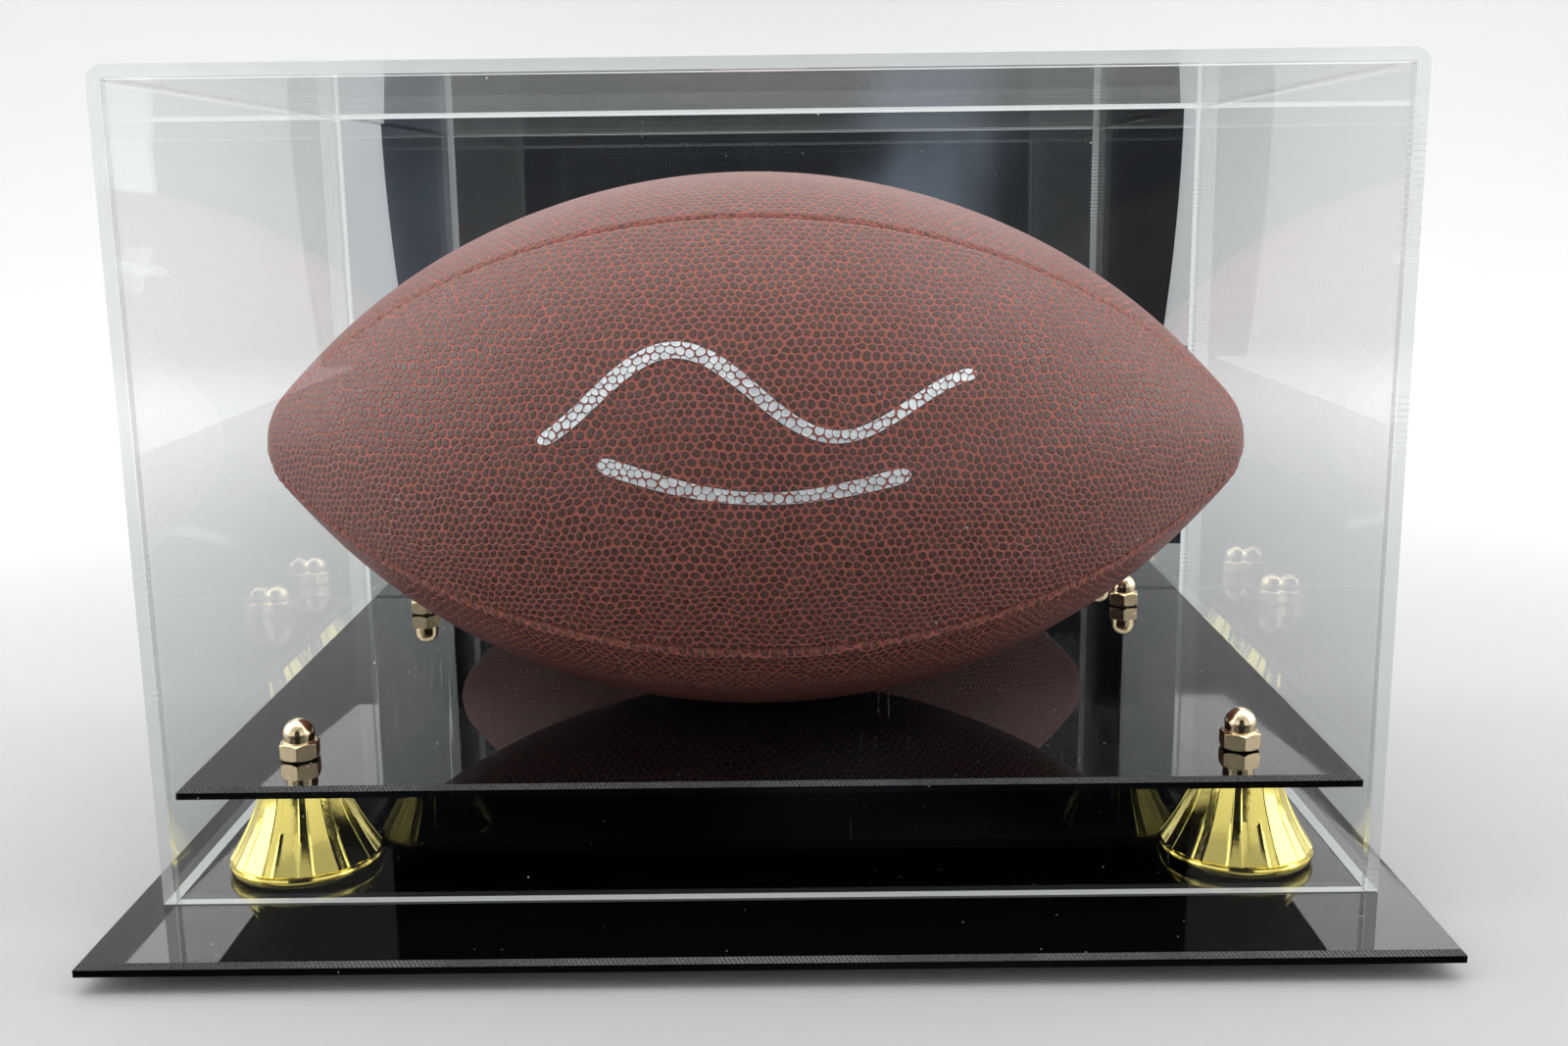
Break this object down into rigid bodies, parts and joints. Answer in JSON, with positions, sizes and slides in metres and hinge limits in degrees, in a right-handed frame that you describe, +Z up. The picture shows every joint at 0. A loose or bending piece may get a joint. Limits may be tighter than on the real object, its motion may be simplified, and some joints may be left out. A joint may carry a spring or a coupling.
{
  "type": "football display case",
  "caption": "Lift-off clear acrylic cover with a mirrored back on a black base, round a deck on fluted gold risers that holds a football.",
  "frame": {"origin": "middle of the base's outline, on the table that the feet stand on", "axes": "+X to the right seen from the front, +Y to the mirrored back, +Z up"},
  "size_m": [0.33, 0.251, 0.2158],
  "materials": {
    "black_acrylic": "polished",
    "rubber_feet": "matt",
    "gold_plastic": "bright gold plating on plastic",
    "steel": "zinc plated",
    "nut_brass": "polished",
    "clear_acrylic": "clear, polished",
    "mirror_acrylic": "mirror",
    "football_leather": "pebbled, satin",
    "bladder_rubber": "matt",
    "lacing": "woven"
  },
  "bodies": {
    "stand": {"base_plate": "black_acrylic", "deck_plate": "black_acrylic", "foot_front_left": "rubber_feet", "foot_front_right": "rubber_feet", "foot_rear_left": "rubber_feet", "foot_rear_right": "rubber_feet", "riser_front_left": "gold_plastic", "riser_front_right": "gold_plastic", "riser_rear_left": "gold_plastic", "riser_rear_right": "gold_plastic", "screw_front_left": "steel", "screw_front_right": "steel", "screw_rear_left": "steel", "screw_rear_right": "steel", "acorn_nut_front_left": "nut_brass", "acorn_nut_front_right": "nut_brass", "acorn_nut_rear_left": "nut_brass", "acorn_nut_rear_right": "nut_brass"},
    "cover": {"cover_wrap": "clear_acrylic", "cover_front_panel": "clear_acrylic", "cover_back_panel": "clear_acrylic", "mirror_panel": "mirror_acrylic"},
    "football": {"football_panel_front": "football_leather", "football_panel_top": "football_leather", "football_panel_rear": "football_leather", "football_panel_bottom": "football_leather", "football_bladder": "bladder_rubber", "football_valve": "bladder_rubber", "football_lacing": "lacing"}
  },
  "joints": [
    {"name": "cover_lift", "type": "slide", "parent": "stand", "child": "cover", "axis": [0, 0, 1], "range_m": [0, 0.21]},
    {"name": "ball_turn", "type": "hinge", "parent": "stand", "child": "football", "pos_m": [-0.0035, -0.0116, 0.1142], "axis": [1, 0, -0.0087], "range_deg": [-90, 90]}
  ]
}
